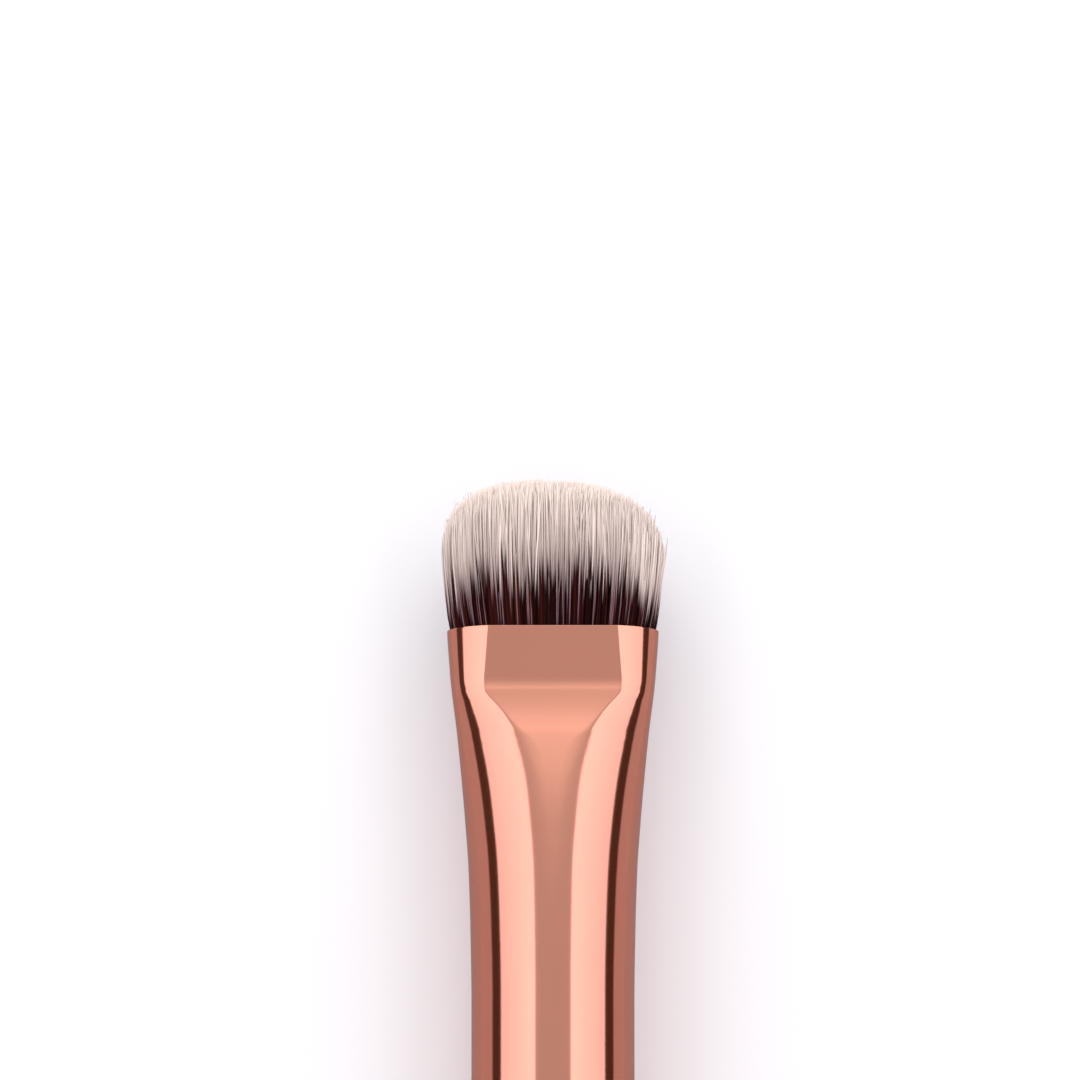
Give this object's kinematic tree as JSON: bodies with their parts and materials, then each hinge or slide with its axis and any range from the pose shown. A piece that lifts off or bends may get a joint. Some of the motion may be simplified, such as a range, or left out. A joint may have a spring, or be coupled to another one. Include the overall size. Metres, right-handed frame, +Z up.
{
  "type": "smudger brush",
  "caption": "Smudger make-up brush: short dense domed tuft, metal ferrule pressed flat at its mouth, turned lacquered handle; lies on its side.",
  "frame": {"origin": "middle of the whole brush's length and width, on the surface that the handle's belly lies on", "axes": "+Y along the brush towards the bristles, +Z up from the surface it lies on, square to the pressed flats, +X across the flats"},
  "size_m": [0.0092, 0.1663, 0.0085],
  "materials": {
    "plated_metal": "polished, rose-gold plated",
    "filament": "dark brown roots fading to warm white tips",
    "set_roots": "epoxy over dark filament",
    "thread": "waxed cotton",
    "lacquered_wood": "gloss black lacquer",
    "glue": "clear amber"
  },
  "bodies": {
    "root": {"ferrule": "plated_metal", "bristle_tuft": "filament", "root_plug": "set_roots", "binding_thread": "thread", "handle": "lacquered_wood", "tenon_glue": "glue"}
  },
  "joints": []
}
